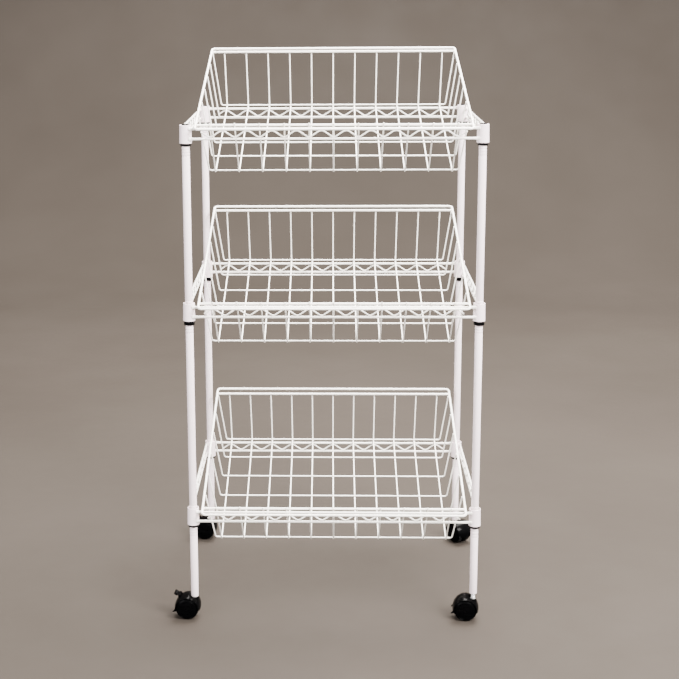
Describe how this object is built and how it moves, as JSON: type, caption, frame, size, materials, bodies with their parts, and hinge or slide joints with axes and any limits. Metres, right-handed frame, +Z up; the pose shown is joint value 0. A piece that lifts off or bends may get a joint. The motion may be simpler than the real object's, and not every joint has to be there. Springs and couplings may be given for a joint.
{
  "type": "rolling utility cart",
  "caption": "White wire utility cart: round posts, truss shelf frames with corner collars, sloping lift-out wire baskets and twin-wheel swivel casters.",
  "frame": {"origin": "on the floor, midway between the four posts", "axes": "+X to the right of the cart, +Y to its back, +Z up; the baskets slope down towards -Y"},
  "size_m": [0.554, 0.4044, 0.9607],
  "materials": {
    "powder_coat": "white powder coat, semi-gloss",
    "sleeve_plastic": "black moulded plastic",
    "caster_plastic": "black moulded plastic",
    "wheel_plastic": "black moulded nylon",
    "steel": "zinc plated"
  },
  "bodies": {
    "cart": {"post_front_left": "powder_coat", "post_front_right": "powder_coat", "post_rear_left": "powder_coat", "post_rear_right": "powder_coat", "post_caps": "sleeve_plastic", "caster_sockets": "steel", "caster_stems": "steel", "bottom_collars": "powder_coat", "bottom_sleeves": "sleeve_plastic", "bottom_front_rail": "powder_coat", "bottom_rear_rail": "powder_coat", "bottom_side_rails": "powder_coat", "middle_collars": "powder_coat", "middle_sleeves": "sleeve_plastic", "middle_front_rail": "powder_coat", "middle_rear_rail": "powder_coat", "middle_side_rails": "powder_coat", "top_collars": "powder_coat", "top_sleeves": "sleeve_plastic", "top_front_rail": "powder_coat", "top_rear_rail": "powder_coat", "top_side_rails": "powder_coat"},
    "bottom_basket": {"bottom_basket_floor": "powder_coat", "bottom_basket_front": "powder_coat", "bottom_basket_back": "powder_coat", "bottom_basket_sides": "powder_coat", "bottom_basket_rim_ends": "powder_coat"},
    "middle_basket": {"middle_basket_floor": "powder_coat", "middle_basket_front": "powder_coat", "middle_basket_back": "powder_coat", "middle_basket_sides": "powder_coat", "middle_basket_rim_ends": "powder_coat"},
    "top_basket": {"top_basket_floor": "powder_coat", "top_basket_front": "powder_coat", "top_basket_back": "powder_coat", "top_basket_sides": "powder_coat", "top_basket_rim_ends": "powder_coat"},
    "swivel_front_left": {"caster_front_left": "caster_plastic", "axle_front_left": "steel"},
    "wheel_a_front_left": {"wheel_a_front_left": "wheel_plastic"},
    "wheel_b_front_left": {"wheel_b_front_left": "wheel_plastic"},
    "brake_front_left": {"brake_front_left": "caster_plastic"},
    "swivel_front_right": {"caster_front_right": "caster_plastic", "axle_front_right": "steel"},
    "wheel_a_front_right": {"wheel_a_front_right": "wheel_plastic"},
    "wheel_b_front_right": {"wheel_b_front_right": "wheel_plastic"},
    "swivel_rear_left": {"caster_rear_left": "caster_plastic", "axle_rear_left": "steel"},
    "wheel_a_rear_left": {"wheel_a_rear_left": "wheel_plastic"},
    "wheel_b_rear_left": {"wheel_b_rear_left": "wheel_plastic"},
    "brake_rear_left": {"brake_rear_left": "caster_plastic"},
    "swivel_rear_right": {"caster_rear_right": "caster_plastic", "axle_rear_right": "steel"},
    "wheel_a_rear_right": {"wheel_a_rear_right": "wheel_plastic"},
    "wheel_b_rear_right": {"wheel_b_rear_right": "wheel_plastic"}
  },
  "joints": [
    {"name": "bottom_basket_lift", "type": "slide", "parent": "cart", "child": "bottom_basket", "axis": [0, 0, 1], "range_m": [0, 0.09]},
    {"name": "middle_basket_lift", "type": "slide", "parent": "cart", "child": "middle_basket", "axis": [0, 0, 1], "range_m": [0, 0.09]},
    {"name": "top_basket_lift", "type": "slide", "parent": "cart", "child": "top_basket", "axis": [0, 0, 1], "range_m": [0, 0.09]},
    {"name": "swivel_front_left", "type": "hinge", "parent": "cart", "child": "swivel_front_left", "pos_m": [-0.24, -0.18, 0.03], "axis": [0, 0, 1], "continuous": true},
    {"name": "roll_a_front_left", "type": "hinge", "parent": "swivel_front_left", "child": "wheel_a_front_left", "pos_m": [-0.25247, -0.17913, 0.02], "axis": [-0.0698, -0.9976, 0], "continuous": true},
    {"name": "roll_b_front_left", "type": "hinge", "parent": "swivel_front_left", "child": "wheel_b_front_left", "pos_m": [-0.25247, -0.17913, 0.02], "axis": [-0.0698, -0.9976, 0], "continuous": true},
    {"name": "brake_front_left", "type": "hinge", "parent": "swivel_front_left", "child": "brake_front_left", "pos_m": [-0.26616, -0.17817, 0.04113], "axis": [-0.0698, -0.9976, 0], "range_deg": [0, 35]},
    {"name": "swivel_front_right", "type": "hinge", "parent": "cart", "child": "swivel_front_right", "pos_m": [0.24, -0.18, 0.03], "axis": [0, 0, 1], "continuous": true},
    {"name": "roll_a_front_right", "type": "hinge", "parent": "swivel_front_right", "child": "wheel_a_front_right", "pos_m": [0.22757, -0.17869, 0.02], "axis": [-0.1045, -0.9945, 0], "continuous": true},
    {"name": "roll_b_front_right", "type": "hinge", "parent": "swivel_front_right", "child": "wheel_b_front_right", "pos_m": [0.22757, -0.17869, 0.02], "axis": [-0.1045, -0.9945, 0], "continuous": true},
    {"name": "swivel_rear_left", "type": "hinge", "parent": "cart", "child": "swivel_rear_left", "pos_m": [-0.24, 0.18, 0.03], "axis": [0, 0, 1], "continuous": true},
    {"name": "roll_a_rear_left", "type": "hinge", "parent": "swivel_rear_left", "child": "wheel_a_rear_left", "pos_m": [-0.25238, 0.18174, 0.02], "axis": [-0.1392, -0.9903, 0], "continuous": true},
    {"name": "roll_b_rear_left", "type": "hinge", "parent": "swivel_rear_left", "child": "wheel_b_rear_left", "pos_m": [-0.25238, 0.18174, 0.02], "axis": [-0.1392, -0.9903, 0], "continuous": true},
    {"name": "brake_rear_left", "type": "hinge", "parent": "swivel_rear_left", "child": "brake_rear_left", "pos_m": [-0.26597, 0.18365, 0.04113], "axis": [-0.1392, -0.9903, 0], "range_deg": [0, 35]},
    {"name": "swivel_rear_right", "type": "hinge", "parent": "cart", "child": "swivel_rear_right", "pos_m": [0.24, 0.18, 0.03], "axis": [0, 0, 1], "continuous": true},
    {"name": "roll_a_rear_right", "type": "hinge", "parent": "swivel_rear_right", "child": "wheel_a_rear_right", "pos_m": [0.24699, 0.16964, 0.02], "axis": [0.829, 0.5592, 0], "continuous": true},
    {"name": "roll_b_rear_right", "type": "hinge", "parent": "swivel_rear_right", "child": "wheel_b_rear_right", "pos_m": [0.24699, 0.16964, 0.02], "axis": [0.829, 0.5592, 0], "continuous": true}
  ]
}
